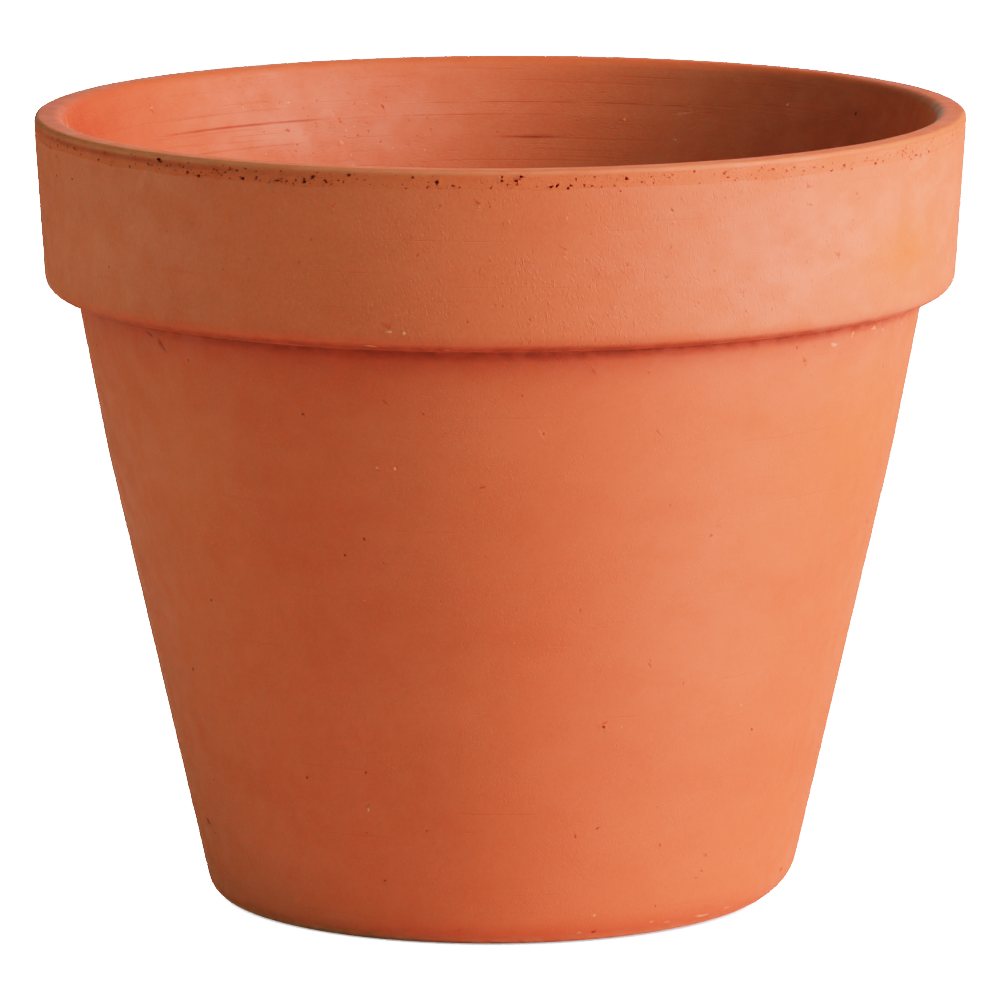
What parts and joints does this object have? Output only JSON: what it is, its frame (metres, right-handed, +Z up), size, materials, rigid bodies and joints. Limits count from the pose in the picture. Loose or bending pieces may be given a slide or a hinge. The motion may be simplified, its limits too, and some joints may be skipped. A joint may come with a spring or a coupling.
{
  "type": "terracotta pot",
  "caption": "Round tapered clay plant pot with a thick rolled collar, a flat lip, a recessed foot and a drain hole through the floor.",
  "frame": {"origin": "centre of the foot, on the surface the pot stands on", "axes": "+Z up along the pot's axis of revolution, X and Y alike"},
  "size_m": [0.205, 0.205, 0.175],
  "materials": {
    "terracotta": "unglazed fired clay, matt and slightly chalky, with fine pores and turning marks"
  },
  "bodies": {
    "root": {"pot": "terracotta"}
  },
  "joints": []
}
